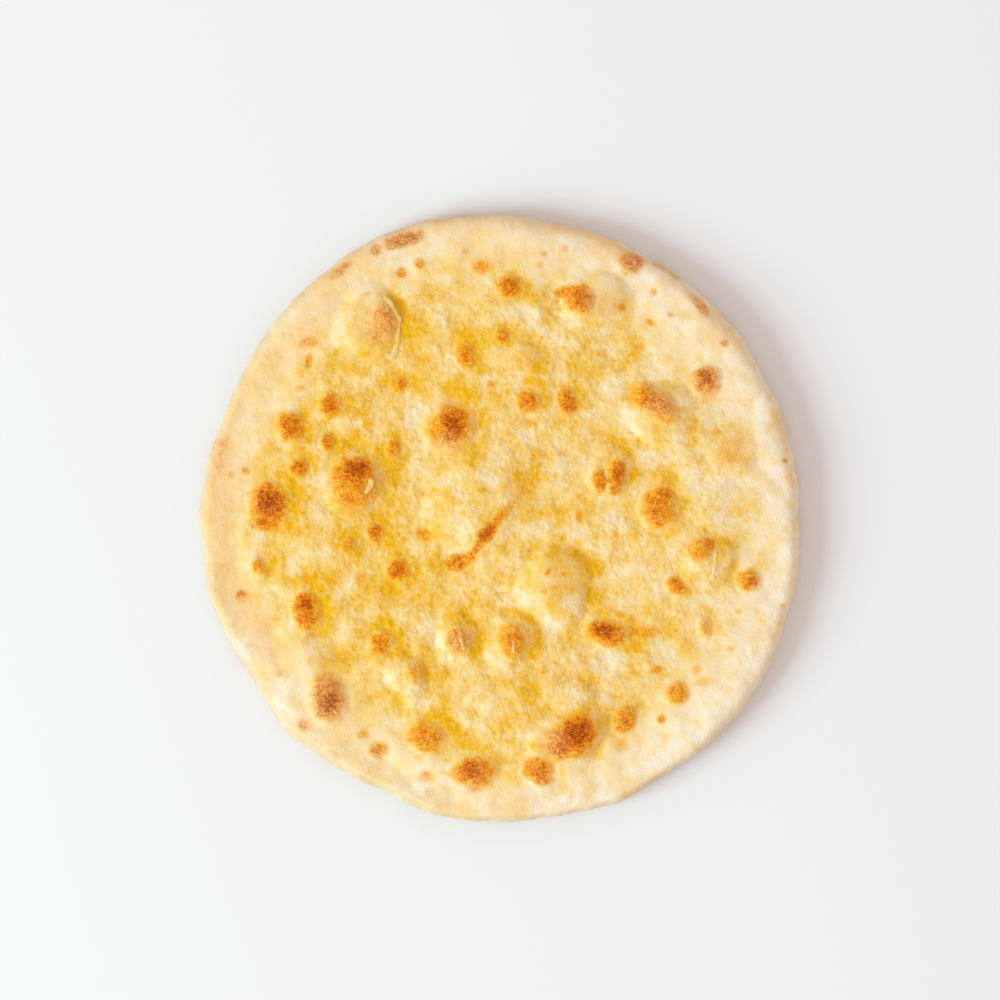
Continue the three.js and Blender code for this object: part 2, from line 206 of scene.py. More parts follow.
def wrinkles(points):
    """Rise and fall of the dough's skin: lumps, wrinkles and a few dimples."""
    dimples = np.maximum(0, uneven(points, DIMPLES) - DIMPLE_FROM)
    return uneven(points, SKIN) - DIMPLE_DEPTH * dimples


# Flat brown marks, in the same columns as the blisters: first the dark hearts and smears on them
HEARTS = [
    (-114, 9, 6.5, 5.5, 100, 1), (-116, -2, 6.5, 5, 0, 0.42), (-71.5, 25, 8, 5.8, 10, 0.86),
    (-22.5, 47.5, 7, 6, 90, 0.86), (-97, -41, 4.5, 4, 0, 0.85), (-85, -91, 5, 5, 0, 0.85),
    (-87, -81, 6.5, 5, 0, 0.28), (-14, -124, 5, 4, 0, 0.65), (-11, -133, 6, 5.5, 0, 0.22),
    (39, -106, 7, 6.5, 0, 0.88), (30, -115, 6, 5, 30, 0.5), (27, -109, 10, 7, 35, 0.34),
    (51, -55, 6, 3, -10, 0.95), (72, -56, 9, 4, 0, 0.35), (102, 71, 4.5, 4, 0, 0.62),
    (82, 13, 4, 3, 0, 0.5), (31, 113, 3.8, 3, 0, 0.6), (105, -12, 3, 3, 0, 0.4),
    (56.6, 21, 8.5, 4, 84, 0.3), (51, 19, 6.5, 3.6, 95, 0.16),
]

# Freckles, and short scorched stretches of the rim
FRECKLES = [
    (-128.5, -38, 3, 3, 0, 0.55), (-109, -24, 3, 3, 0, 0.15), (-69, -29, 4.5, 3.5, 90, 0.32),
    (-77.5, -70, 5, 2.6, 85, 0.3), (-98, -102.5, 3.9, 3, 120, 0.42), (-68, -107, 3, 2.4, 0, 0.25),
    (-82, -117, 5.5, 3, -10, 0.2), (-110, -77, 2, 2, 0, 0.22), (-60, -124, 3, 2.5, 0, 0.15),
    (-37, -128, 4.2, 3.4, 10, 0.38), (-34, -136, 4, 2.8, 0, 0.22), (80.5, -99.5, 2.6, 2.5, 0, 0.4),
    (78, -75, 3.8, 2.6, 20, 0.42), (115, -64.5, 1.7, 1.6, 0, 0.28), (98, -75, 3, 2.8, 0, 0.28),
    (101, -81, 4.5, 2.8, 0, 0.22), (60, -113, 5.2, 4, 0, 0.25), (70, -92, 3.2, 2.8, 0, 0.25),
    (40, 1, 5, 3, 95, 0.35), (15, 48, 3, 2.4, 0, 0.25), (-4, 67, 2.6, 2.4, 0, 0.35),
    (-9, 125, 6, 4.5, 0, 0.34), (-49, 122.5, 3, 3, 0, 0.5), (-39.5, 127, 3, 3, 0, 0.45),
    (-61.5, 134, 3.3, 2.8, 30, 0.55), (-47, 139, 10.5, 3.8, 14, 0.74), (-79, 124, 6.5, 3, 40, 0.52),
    (100, 106, 8, 2.5, -50, 0.36), (80, 126.5, 6, 2.2, -32, 0.3), (88, 121.5, 4, 2, -38, 0.28),
    (22, 132, 2.2, 1.9, 0, 0.3), (32, 134, 2, 1.7, 0, 0.25), (20, 126.5, 2.5, 2, 0, 0.25),
    (-17, 133, 2.2, 1.6, 0, 0.25), (76.5, 112.5, 2.2, 2.2, 0, 0.35), (85, 101.5, 1.7, 1.6, 0, 0.3),
    (75, 98, 3.6, 2.1, -35, 0.35), (61, 105, 2.2, 2.2, 0, 0.3), (112, 87.5, 2.3, 2.2, 0, 0.45),
    (142, 29, 1.9, 1.7, 0, 0.45), (141, -43, 1.7, 1.6, 0, 0.3), (119, -46, 2, 1.8, 0, 0.25),
    (108, 43, 2.8, 2.5, 0, 0.35), (81, 25, 3, 3, 0, 0.25), (-38, -8, 5, 4, 135, 0.42),
    (-126, 24, 2.2, 2, 0, 0.38), (-133, 22, 2, 2, 0, 0.2), (-115, 33, 6, 5, 0, 0.2),
    (-95, 78, 5, 2.2, 75, 0.4), (-95, 88, 5.5, 3.5, 0, 0.25), (-110, 70, 4, 3.6, 0, 0.2),
    (-99, 65, 3, 2.4, 0, 0.3), (69, 85, 5, 3, 20, 0.3), (50, 82, 4, 3, 0, 0.3),
    (28, -71, 1.5, 1.5, 0, 0.35), (22, -76, 1.6, 1.4, 0, 0.35), (13, -90, 1.7, 1.5, 0, 0.35),
    (24, -26, 2.6, 1.4, 60, 0.3), (27, -34, 2, 1.2, 20, 0.25), (32, -27, 1.8, 1.2, 0, 0.25),
    (22, -36, 1.6, 1.1, 0, 0.22), (35, -36, 1.7, 1.2, 0, 0.2), (-67, 82, 4, 1.5, 0, 0.25),
    (-61, 80, 2.2, 1.3, 0, 0.22), (-66, 112, 3, 1.5, 10, 0.22),
]

# The crease that a burst bubble left in the middle
CREASE = [
    (-22, -22, 6, 4.4, 0, 0.68), (-15.5, -19.5, 5, 3.4, 30, 0.5), (-11, -14, 4.4, 2.6, 50, 0.5),
    (-7, -8, 6, 3.6, 48, 0.9), (-3, -3, 5.2, 3, 50, 0.6), (2, 3, 6, 3.2, 48, 0.36),
    (8, 10, 5, 5, 50, 0.2), (12.5, 16, 5, 4, 90, 0.2),
]

# Faint tan, on bubbles and then along the rim
TANS = [
    (12, 79, 7.5, 6.5, 0, 0.22), (-63, 96, 16, 13, 100, 0.15), (-58, 95, 12, 8, 80, 0.22),
    (28, -29, 14, 12, 60, 0.13), (53, 107, 12, 10, 0, 0.21), (76, 57, 16, 10, -35, 0.16),
    (71, 59, 9, 6, -20, 0.3), (65, 127, 8, 7, 0, 0.26), (98, -14, 10, 8, 20, 0.26),
    (115, 33, 11, 9, 60, 0.26), (-139, 5, 40, 11, 92, 0.22), (-137, 33, 10, 6, 80, 0.16),
    (10, 146, 60, 5, 0, 0.12), (-74, 128, 40, 7, 30, 0.08), (-124, -48, 28, 9, -67, 0.21),
    (-93, 103, 13, 8, 45, 0.13), (-107, -68, 13, 7, -55, 0.13), (-140, 44, 14, 7, 75, 0.13),
    (-66, -112, 16, 7, -32, 0.12), (-4, 131, 18, 6, 0, 0.13), (46, 136, 24, 6, -18, 0.12),
    (96, 104, 26, 7, -47, 0.14), (-94, 89, 12, 9, 40, 0.12),
]
TOAST_STRENGTH = 0.77
TOAST_FULL, TOAST_GONE = 0.25, 1.48
TOAST_RAGGED = [(0.15, 5, 11), (0.06, 2.2, 23)]

# Blisters that oil did not reach, which browned dry: x, y, radius
DRY_BLISTERS = [
    (-86, -88, 14), (102, 69, 12), (-60, 99, 17), (27, -111, 10), (80, 57, 10), (-26, 38, 7),
    (50, 108, 11), (-21, -60, 8),
]
DRYNESS = 0.6


def toast_at(points):
    """How far the heat has browned the top, 0 to 1: each mark has a dark heart and a soft edge."""
    x, y = points[:, 0], points[:, 1]
    ragged = 1 + uneven(points, TOAST_RAGGED)
    pale = np.ones(len(points))
    for *oval, toast in BLISTERS + HEARTS + FRECKLES + CREASE + TANS:
        spread = 1 - smooth(oval_distance(x, y, *oval) * ragged, TOAST_FULL, TOAST_GONE)
        pale *= 1 - TOAST_STRENGTH * toast * spread
    return 1 - pale


def soaked_at(points):
    """Share of fat that the top has taken up: all over, but less on the dry blisters."""
    soaked = np.ones(len(points))
    for centre_x, centre_y, radius in DRY_BLISTERS:
        distance = np.hypot(points[:, 0] - centre_x, points[:, 1] - centre_y) / radius
        soaked *= 1 - DRYNESS * (1 - smooth(distance, 0.5, 1.2))
    return soaked


# Edge of the cheese, as a radius every 15 degrees, and how far it runs out on either side of that
CHEESE_RADII = np.array([
    125, 124, 123, 113, 118, 123, 124, 126, 128, 121, 119, 122,
    126, 125, 116, 112, 116, 121, 126, 128, 119, 116, 117, 124,
])
COVER_NONE, COVER_FULL = -18, 16
COVER_RAGGED = [(7, 13, 43)]

# Pools of oil: x, y, radius, and the thinner film between them
OIL_POOLS = [
    (-12, 87, 8), (-83, 79, 6), (-74, 36, 5), (50, 75, 7), (10, -83, 6), (5, -110, 5), (22, -95, 5),
    (42, -97, 5), (-46, -20, 8), (8, 116, 8), (38, 60, 7), (3, 93, 7), (-88, -55, 7), (-55, -52, 8),
    (84, -54, 7), (-118, 24, 5), (-57, -14, 6), (34, -61, 5), (28, 104, 8), (-84, -45, 6),
    (-66, -38, 7),
]
POOL_RAGGED = [(0.3, 4, 91)]
OIL_FILM = 0.8
FILM_LUMPS = [(1, 12, 97), (0.5, 5, 101)]


def cheese_inset(x, y):
    return curve_through(CHEESE_RADII, np.arctan2(y, x)) - np.hypot(x, y)


def cheese_cover(points):
    """Share of the top that cheese covers: 1 over the middle, running out on the rim."""
    inset = cheese_inset(points[:, 0], points[:, 1])
    return smooth(inset + uneven(points, COVER_RAGGED), COVER_NONE, COVER_FULL)


def oil_at(points):
    """Free oil, 0 to 1: in the pools, and in a thinner film here and there."""
    oil = OIL_FILM * smooth(uneven(points, FILM_LUMPS), 0.25, 1.1)
    ragged = 1 + uneven(points, POOL_RAGGED)
    for pool_x, pool_y, pool_radius in OIL_POOLS:
        distance = np.hypot(points[:, 0] - pool_x, points[:, 1] - pool_y) / pool_radius
        oil = np.maximum(oil, 1 - smooth(distance * ragged, 0.2, 1.4))
    return oil * cheese_cover(points)


# Share of golden cheese and fat: at the middle, its change for each millimetre to the right, its lumps
GOLDEN_MIDDLE = 0.53
GOLDEN_LEAN = -0.001
GOLDEN_LUMPS = [(0.14, 25, 127), (0.36, 12, 31), (0.16, 5.5, 37)]
STRAY_GOLD = 0.12
STRAY_LUMPS = [(0.2, 7, 47)]

# Round bubbles and blisters: the side away from the lamp, a painted highlight on the lit flank, and
# painted shade as golden bands by their middle and width, in radii
AWAY_FROM_LAMP = math.radians(28)
PAINTED_LIT_FLANK = 0.065
PAINTED_SHADE_FOOT = 0.14
FOOT_BAND = (0.97, 0.22)
PAINTED_SHADE_HALO, PALE_HALO = 0.42, 0.06
HALO_BAND = (1.5, 0.45)

# Patches where less cheese lies, and then where more of it does: x, y, radius, how much more golden.
# Some pale ones on the lit flanks of bubbles are a painted highlight, and the golden ones at the far foot
# of the bubble at (28, -33) are painted shade
THIN_AND_LIT_PATCHES = [
    (-21, -4, 7, -0.15), (-3, 19, 4, -0.3), (-9, -90, 7, -0.35), (35, -88, 8, -0.35),
    (-50, -48, 4, -0.35), (-43, 8, 5, -0.35), (62, 52, 4, -0.15), (66, 44, 4, -0.15),
    (90, 40, 4, -0.35), (17, 101, 5, -0.4), (-40, 35, 9, -0.32), (2, 34, 12, -0.42), (93, 62, 8, -0.27),
    (100, 46, 7, -0.27), (75, -4, 7, -0.22), (50, -15, 7, -0.22), (-120, -6, 6, -0.27),
    (-110, -33, 6, -0.2), (57, -73, 9, -0.32), (50, -95, 6, -0.22), (10, -105, 6, -0.27),
    (-90, -63, 6, -0.4), (-60, 69, 7, -0.22), (-48, 113, 7, -0.3), (6, -34, 8, -0.27),
    (-5, -66, 7, -0.3), (35, 30, 7, -0.22), (-119, 32, 6, -0.2), (-40, 27, 8, -0.3), (98, 27, 9, -0.32),
    (-117, -9, 8, -0.25), (-62, 118, 9, -0.45), (40, 122, 11, -0.27), (75, 74, 9, -0.32),
    (53, -92, 8, -0.35), (40, -123, 8, -0.25), (-100, 34, 6, -0.2), (60, 0, 7, -0.2),
    (-44, 54, 9, -0.2), (-65, 44, 8, -0.32), (-126, 8, 7, -0.25), (43, 22, 7, -0.25), (88, 4, 7, -0.25),
    (65, -67, 7, -0.2), (45, -70, 6, -0.2), (88, 45, 8, -0.2), (98, 58, 7, -0.2), (105, 0, 9, -0.2),
    (106, 13, 8, -0.15), (90, 14, 7, -0.28), (34, -13, 8, -0.3), (56, 44, 7, -0.25),
    (13, 124, 7, -0.25), (88, 69, 6, -0.25), (-107, 27, 6, -0.2),
]
RICH_AND_SHADED_PATCHES = [
    (78, 40, 8, 0.22), (-42, -30, 7, 0.25), (-5, 65, 9, 0.22), (-10, 80, 7, 0.22), (115, 25, 9, 0.22),
    (97, -68, 10, 0.42), (-92, 75, 10, 0.32), (0, 110, 7, 0.22), (16, -81, 7, 0.22),
    (-20, -12, 6, 0.15), (-44, -40, 8, 0.15), (48, -24, 5, 0.35), (47, -38, 5, 0.35),
    (38, -58, 8, 0.22), (4, 60, 8, 0.18), (-66, -6, 10, 0.2), (15, -85, 6, 0.25), (-90, 88, 8, 0.25),
    (-60, -30, 8, 0.15), (-38, 99, 8, 0.2), (-8, -131, 7, 0.3), (-37, -127, 7, 0.25), (-80, 67, 8, 0.2),
    (-40, -26, 7, 0.2), (-4, -18, 7, 0.15), (3, -86, 6, 0.2), (-104, -66, 9, 0.2), (-95, 14, 8, 0.2),
    (-55, -93, 9, 0.25),
]
PATCH_RAGGED = [(0.3, 5, 113)]


def along_away_from_lamp(x, y, oval):
    """Distance from an oval's middle on the side away from the lamp, about 1 on its far edge."""
    centre_x, centre_y, length, width, _ = oval
    run = (x - centre_x) * math.cos(AWAY_FROM_LAMP) + (y - centre_y) * math.sin(AWAY_FROM_LAMP)
    return run / math.sqrt(length * width)


def band(distance, middle, width):
    return np.exp(-(((distance - middle) / width) ** 2))


def golden_at(points):
    """Share of golden cheese and oil in the top, 0 on bare dough and about 1 where oil has gathered.

    Bubbles are paler on the flank that faces the lamp, a painted highlight, and more golden round the far
    foot, as blisters are on their far side: painted shade.
    """
    x, y = points[:, 0], points[:, 1]
    strayed_x, strayed_y = wander(x, y)
    golden = GOLDEN_MIDDLE + GOLDEN_LEAN * x + uneven(points, GOLDEN_LUMPS)
    for *oval, rise in BUBBLES:
        away = along_away_from_lamp(x, y, oval)
        distance = oval_distance(strayed_x, strayed_y, *oval)
        flank = smooth(distance, 0.2, 0.7) * (1 - smooth(distance, 0.85, 1.2))
        # Painted highlight on the flank facing the lamp, painted shade as gold round the far foot
        golden -= PAINTED_LIT_FLANK * rise * flank * smooth(-away, -0.1, 0.6)
        golden += PAINTED_SHADE_FOOT * rise * band(distance, *FOOT_BAND) * smooth(away, 0, 0.7)
    for *oval, _ in BLISTERS:
        # Painted shade: a golden halo on each blister's side away from the lamp
        far_side = smooth(along_away_from_lamp(x, y, oval), -0.7, 1.1)
        halo = band(oval_distance(strayed_x, strayed_y, *oval), *HALO_BAND)
        golden += (PAINTED_SHADE_HALO * far_side - PALE_HALO) * halo
    ragged = 1 + uneven(points, PATCH_RAGGED)
    # Less and more cheese, and in places a painted highlight on lit flanks and painted shade at far feet
    for centre_x, centre_y, radius, more in THIN_AND_LIT_PATCHES + RICH_AND_SHADED_PATCHES:
        distance = np.hypot(x - centre_x, y - centre_y) / radius
        golden += more * (1 - smooth(distance * ragged, 0.3, 1.4))
    cover = cheese_cover(points)
    return golden * cover + (1 - cover) * (STRAY_GOLD + uneven(points, STRAY_LUMPS))


FEWEST_IN_RING = 6


def ring_of(radius, spacing):
    """Angles of the points round a ring of about that radius, or of the one point in the middle."""
    count = max(FEWEST_IN_RING, round(2 * np.pi * radius / spacing)) if radius > 0 else 1
    return np.arange(count) * 2 * np.pi / count


def rings_mesh(name, rings):
    """A closed skin of triangles over rings of points, each ring in turn joined to the next."""
    starts = np.cumsum([0] + [len(ring) for ring in rings])
    numbers = [np.arange(start, end) for start, end in zip(starts, starts[1:])]
    faces = []
    for inner, outer in zip(numbers, numbers[1:]):
        inner_count, outer_count = len(inner), len(outer)
        inner_steps = 2 * np.arange(inner_count) + 1
        outer_steps = 2 * np.arange(outer_count) + 1
        facing_out = -((inner_count - inner_steps * outer_count) // (2 * inner_count)) % outer_count
        facing_in = ((outer_steps * inner_count - outer_count) // (2 * outer_count) + 1) % inner_count
        if inner_count > 1:
            faces.append(np.stack([inner, outer[facing_out], np.roll(inner, -1)], 1))
        if outer_count > 1:
            faces.append(np.stack([inner[facing_in], outer, np.roll(outer, -1)], 1))
    mesh = bpy.data.meshes.new(name)
    mesh.from_pydata(np.concatenate(rings).tolist(), [], np.concatenate(faces).tolist())
    mesh.shade_smooth()
    piece = bpy.data.objects.new(name, mesh)
    bpy.context.scene.collection.objects.link(piece)
    return piece


def vertex_values(mesh, field):
    values = np.zeros(len(mesh.vertices) * 3)
    mesh.vertices.foreach_get(field, values)
    return values.reshape(-1, 3)


def give_values(piece, **fields):
    """Stores numbers at every point, for the finish to read."""
    for name, values in fields.items():
        field = piece.data.attributes.new(name, "FLOAT", "POINT")
        field.data.foreach_set("value", values.astype(np.float32))


# Spacing of the mesh: fine where the dough shows, coarse under the cheese, where it also lies lower
FINE_SPACING = 0.9
HIDDEN_SPACING = 3.5
UNDERSIDE_SPACING = 3
FINE_FROM = 98
SMALLEST_RING = 2
EDGE_STEPS, BASE_STEPS = 14, 11
UNDER_CHEESE = 0.5
UNDER_CHEESE_FROM, UNDER_CHEESE_ALL = 5, 13

bread_rings = []
bread_radius = EDGE_RADII.mean()
shoulder_radius = bread_radius - 0.5 * (EDGE_ROUND + THIN_SIDE_ROUND)
hidden_radii = np.arange(0, FINE_FROM, HIDDEN_SPACING)
open_radii = np.arange(FINE_FROM, shoulder_radius, FINE_SPACING)
for radius in [*hidden_radii, *open_radii]:
    angle = ring_of(radius, HIDDEN_SPACING if radius < FINE_FROM else FINE_SPACING)
    reach = (curve_through(EDGE_RADII, angle) - edge_round(angle)) * radius / shoulder_radius
    x, y = reach * np.cos(angle), reach * np.sin(angle)
    lowered = UNDER_CHEESE * smooth(cheese_inset(x, y), UNDER_CHEESE_FROM, UNDER_CHEESE_ALL)
    bread_rings.append(np.stack([x, y, dough_height(x, y) - lowered], 1))
angle = ring_of(bread_radius, FINE_SPACING)
edge = curve_through(EDGE_RADII, angle)
for tilt in np.linspace(np.pi / 2, 0, EDGE_STEPS):
    reach = edge - edge_round(angle) * (1 - math.cos(tilt))
    x, y = reach * np.cos(angle), reach * np.sin(angle)
    bread_rings.append(np.stack([x, y, dough_height(x, y)], 1))
for tilt in np.linspace(0, np.pi / 2, BASE_STEPS)[1:]:
    reach = edge - BASE_ROUND * (1 - math.cos(tilt))
    z = edge_height(angle) * (1 - math.sin(tilt))
    bread_rings.append(np.stack([reach * np.cos(angle), reach * np.sin(angle), z], 1))
flat_radius = bread_radius - BASE_ROUND - 0.5 * UNDERSIDE_SPACING
for radius in [*np.arange(flat_radius, SMALLEST_RING, -UNDERSIDE_SPACING), 0]:
    angle = ring_of(radius, UNDERSIDE_SPACING)
    reach = curve_through(EDGE_RADII, angle) * radius / bread_radius
    bread_rings.append(np.stack([reach * np.cos(angle), reach * np.sin(angle), 0 * angle], 1))
bread = rings_mesh("baked_bread", bread_rings)

# Skin of the dough, deeper on the steep rim, and a stone-marked underside that still lies flat
RIM_SKIN = 0.8
STONE_DENTS = [(0.5, [(1, 14, 53)]), (0.2, [(1, 5, 59)])]
STONE_MARKS = [(1, 11, 61), (0.5, 4, 67)]
STONE_TAN, STONE_BROWN = 0.12, 0.6

points = vertex_values(bread.data, "co")
normals = vertex_values(bread.data, "normal")
x, y, z = points.T
edge_inset = curve_through(EDGE_RADII, np.arctan2(y, x)) - np.hypot(x, y)
beneath = smooth(-normals[:, 2], 0.1, 0.8)
steep = np.hypot(normals[:, 0], normals[:, 1])
skin_share = (1 - beneath) * (1 + RIM_SKIN * smooth(steep, 0.5, 0.9))
points += normals * (skin_share * wrinkles(points))[:, None]
dents = sum(depth * np.maximum(0, uneven(points, lumps)) for depth, lumps in STONE_DENTS)
points[:, 2] = np.maximum(points[:, 2] + dents * (z < 0.01), 0)
bread.data.vertices.foreach_set("co", (points * MM).ravel())

# The edge facing the lamp is darkened and toasted a little, and the rim away from it darkened: painted
# shade. The thin side browned along its line, and the rim is more tan towards the left
LIT_SIDE = math.radians(206)
THIN_EDGE_TOAST, EDGE_SHADE_TOAST = 0.3, 0.12
SLOPE_SHADE, EDGE_LINE_SHADE, FAR_RIM_SHADE = 0.62, 0.3, 0.16
TAN_MIDDLE, TAN_LEAN = 0.35, (-0.003, 0.0006)
TAN_LUMPS = [(0.5, 22, 137), (0.45, 9, 139)]

angle = np.arctan2(y, x)
above = 1 - beneath
thin_edge = smooth(np.cos(angle - THIN_SIDE), 0.9, 0.97) * (1 - smooth(edge_inset, 0.2, 1.8))
facing_lamp = 0.5 + 0.5 * np.cos(angle - LIT_SIDE)
# Painted shade: the edge line facing the lamp toasted a little darker
painted_edge_shade = facing_lamp**2 * (1 - smooth(edge_inset, 0.2, 1.6))
pale = (1 - toast_at(points)) * (1 - THIN_EDGE_TOAST * thin_edge) * (1 - EDGE_SHADE_TOAST * painted_edge_shade)
# Painted shade: the lit slope and edge line darker, and the rim away from the lamp a little darker
dried_slope = SLOPE_SHADE * smooth(steep, 0, 0.7) * (1 - smooth(edge_inset, 5, 9))
dried_line = EDGE_LINE_SHADE * (1 - smooth(edge_inset, 0, 0.9))
dried_far_rim = FAR_RIM_SHADE * (1 - towards_thin_side(angle)) * (1 - smooth(edge_inset, 1.5, 11))
stone_marks = smooth(uneven(points, STONE_MARKS), 0.1, 0.9)
flat = points * (1, 1, 0)
give_values(
    bread,
    toast=above * (1 - pale) + beneath * (STONE_TAN + STONE_BROWN * stone_marks),
    golden=above * golden_at(flat),
    cover=above * cheese_cover(flat),
    oil=above * oil_at(flat),
    soaked=above * smooth(edge_inset, 8, 30) * soaked_at(flat),
    tanned=TAN_MIDDLE + TAN_LEAN[0] * x + TAN_LEAN[1] * y + uneven(points, TAN_LUMPS),
    dried=np.maximum(facing_lamp * (dried_slope + dried_line), dried_far_rim),
)

# Baked dough: tan cream on the rim, yellower where fat has soaked in, gilded and browned from above, and
# darkened on the edge facing the lamp and on the far rim as painted shade
PAINTED_SHADE_COLOUR = (0.50, 0.36, 0.23)
DOUGH_TAN = (0.845, 0.57, 0.22)
DOUGH_CREAM = (0.88, 0.785, 0.615)
SOAKED_CREAM = (0.875, 0.69, 0.40)
GOLDEN_STEPS = [
    (0.0, (0.885, 0.71, 0.42)), (0.35, (0.87, 0.63, 0.255)), (0.7, (0.84, 0.515, 0.10)),
    (1.0, (0.79, 0.42, 0.010)),
]
OIL_YELLOW = (0.80, 0.455, 0.010)
CURD_PALE = (0.89, 0.76, 0.48)
CRISP_CRUMB = (0.84, 0.50, 0.17)
SCORCH_STEPS = [
    (0.0, (0.84, 0.60, 0.30)), (0.2, (0.78, 0.44, 0.155)), (0.45, (0.64, 0.255, 0.06)),
    (0.7, (0.47, 0.14, 0.03)), (1.0, (0.30, 0.06, 0.02)),
]
TOAST_STEPS = [
    (0.0, (0.86, 0.54, 0.11)), (0.2, (0.83, 0.385, 0.022)), (0.45, (0.74, 0.225, 0.004)),
    (0.68, (0.57, 0.125, 0.002)), (0.86, (0.40, 0.072, 0.002)), (1.0, (0.29, 0.05, 0.003)),
]
BUMP_DEPTH = 0.5 * MM


def new_finish(name):
    """A material with its shader, and a short way to add nodes to it."""
    finish = bpy.data.materials.new(name)
    finish.use_nodes = True
    tree = finish.node_tree
    shader = next(node for node in tree.nodes if node.type == "BSDF_PRINCIPLED")

    def add(kind, output=0, settings=None, **inputs):
        made = tree.nodes.new(kind)
        for setting, value in (settings or {}).items():
            setattr(made, setting, value)
        for label, value in inputs.items():
            place = int(label[1:]) if label[1:].isdigit() else label
            if isinstance(value, bpy.types.NodeSocket):
                tree.links.new(value, made.inputs[place])
            else:
                made.inputs[place].default_value = value
        return made.outputs[output]

    def to_shader(label, socket):
        tree.links.new(socket, shader.inputs[label])

    return finish, shader, add, to_shader


def stored(add, name):
    return add("ShaderNodeAttribute", output=2, settings={"attribute_name": name})


def speckle(add, size_mm, detail=2):
    """Fine noise, 0 to 1, fixed to the piece."""
    place = add("ShaderNodeTexCoord", output=3)
    return add("ShaderNodeTexNoise", Vector=place, Scale=1 / (size_mm * MM), Detail=detail)


def plus(add, first, second):
    return add("ShaderNodeMath", settings={"operation": "ADD"}, _0=first, _1=second)


def times(add, first, second):
    return add("ShaderNodeMath", settings={"operation": "MULTIPLY"}, _0=first, _1=second)


def between(add, value, low, high, start=0, end=1):
    """A value from low to high turned into one from start to end, and held there beyond."""
    return add("ShaderNodeMapRange", _0=value, _1=low, _2=high, _3=start, _4=end)


def blend_colours(add, share, first, second):
    """One colour where the share is 0 and another where it is 1, from nodes or the same all over."""
    first, second = ((*colour, 1) if isinstance(colour, tuple) else colour for colour in (first, second))
    return add("ShaderNodeMix", output=2, settings={"data_type": "RGBA"}, _0=share, _6=first, _7=second)


def stepped(add, share, steps):
    """Colour that runs through given steps as a share goes from 0 to 1."""
    ramp = add("ShaderNodeValToRGB", Fac=share)
    elements = ramp.node.color_ramp.elements
    while len(elements) < len(steps):
        elements.new(0.5)
    for element, (place, colour) in zip(elements, steps):
        element.position = place
        element.color = (*colour, 1)
    return ramp


def baked_top(add, bare_colour):
    """Bare colour, gilded in patches and dots by melted fat and strewn with curds, then toasted.

    Also gives the gilding and the toast, for gloss to follow.
    """
    cover = stored(add, "cover")
    patches = between(add, speckle(add, 5), 0.3, 0.7, -0.15, 0.15)
    dots = between(add, speckle(add, 3.2, 1), 0.57, 0.74, 0, 0.26)
    mottling = times(add, plus(add, patches, dots), between(add, cover, 0, 0.7, 0.35, 1))
    golden = plus(add, stored(add, "golden"), mottling)
    gilded = stepped(add, golden, GOLDEN_STEPS)
    colour = blend_colours(add, between(add, golden, 0, 0.35), bare_colour, gilded)

    oily = times(add, stored(add, "oil"), between(add, speckle(add, 2.8, 1), 0.3, 0.65))
    colour = blend_colours(add, oily, colour, OIL_YELLOW)
    curd_tops = times(add, cover, between(add, speckle(add, 2.2, 1), 0.54, 0.75, 0, 0.28))
    colour = blend_colours(add, curd_tops, colour, CURD_PALE)

    toast = stored(add, "toast")
    fine_flecks = between(add, speckle(add, 1), 0.34, 0.66, 0.16, -0.24)
    flecks = plus(add, fine_flecks, between(add, speckle(add, 2.6, 1), 0.3, 0.7, 0.15, -0.17))
    flecked = plus(add, toast, times(add, flecks, between(add, toast, 0.05, 0.4)))
    in_fat = between(add, stored(add, "soaked"), 0.1, 0.8)
    browned_dry = stepped(add, flecked, SCORCH_STEPS)
    toasted = blend_colours(add, in_fat, browned_dry, stepped(add, flecked, TOAST_STEPS))
    crumbs = between(add, speckle(add, 1.1, 1), 0.58, 0.72, 0, 0.42)
    crumbs = times(add, crumbs, between(add, toast, 0.25, 0.5))
    toasted = blend_colours(add, crumbs, toasted, CRISP_CRUMB)
    return blend_colours(add, between(add, toast, 0.02, 0.27), colour, toasted), golden, flecked


dough, shader, add, to_shader = new_finish("baked_dough")
tanned = plus(add, stored(add, "tanned"), between(add, speckle(add, 3.2, 3), 0.3, 0.75, -0.15, 0.3))
bare = blend_colours(add, tanned, DOUGH_CREAM, DOUGH_TAN)
bare = blend_colours(add, stored(add, "soaked"), bare, SOAKED_CREAM)
colour, golden, toast = baked_top(add, bare)
# Painted shade on the lit edge and the far rim, giving way where the dough is toasted
dried = times(add, stored(add, "dried"), between(add, toast, 0.1, 0.35, 1, 0.3))
to_shader("Base Color", blend_colours(add, dried, colour, PAINTED_SHADE_COLOUR))
to_shader("Roughness", between(add, golden, 0, 1, 0.65, 0.4))
grain = between(add, stored(add, "cover"), 0, 1, 0.44, 0.6)
bump = add("ShaderNodeBump", Height=speckle(add, 1.15, 3), Strength=grain, Distance=BUMP_DEPTH)
to_shader("Normal", bump)
shader.inputs["Specular IOR Level"].default_value = 0.2
shader.inputs["Subsurface Weight"].default_value = 0.2
shader.inputs["Subsurface Radius"].default_value = (1.0, 0.5, 0.25)
shader.inputs["Subsurface Scale"].default_value = 2.5 * MM
bread.data.materials.append(dough)
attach(bread, "root")
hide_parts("bread")

# The cheese is finely grated, strewn over the raw dough with oil and melted into it in the oven.
# It has set to a thin grainy sheet with pale curds standing up and yellow oil lying between them.
# Towards its edge it thins out and breaks up, until only grains are left on the rim.

CHEESE_THICKNESS = 1.1
CHEESE_FADE = 30
CHEESE_RAGGED = [(5, 7, 79), (2.5, 2.8, 103)]
CHEESE_LUMPS = [(0.12, 7, 83), (0.12, 3, 89)]
EDGE_SUNK = 0.06

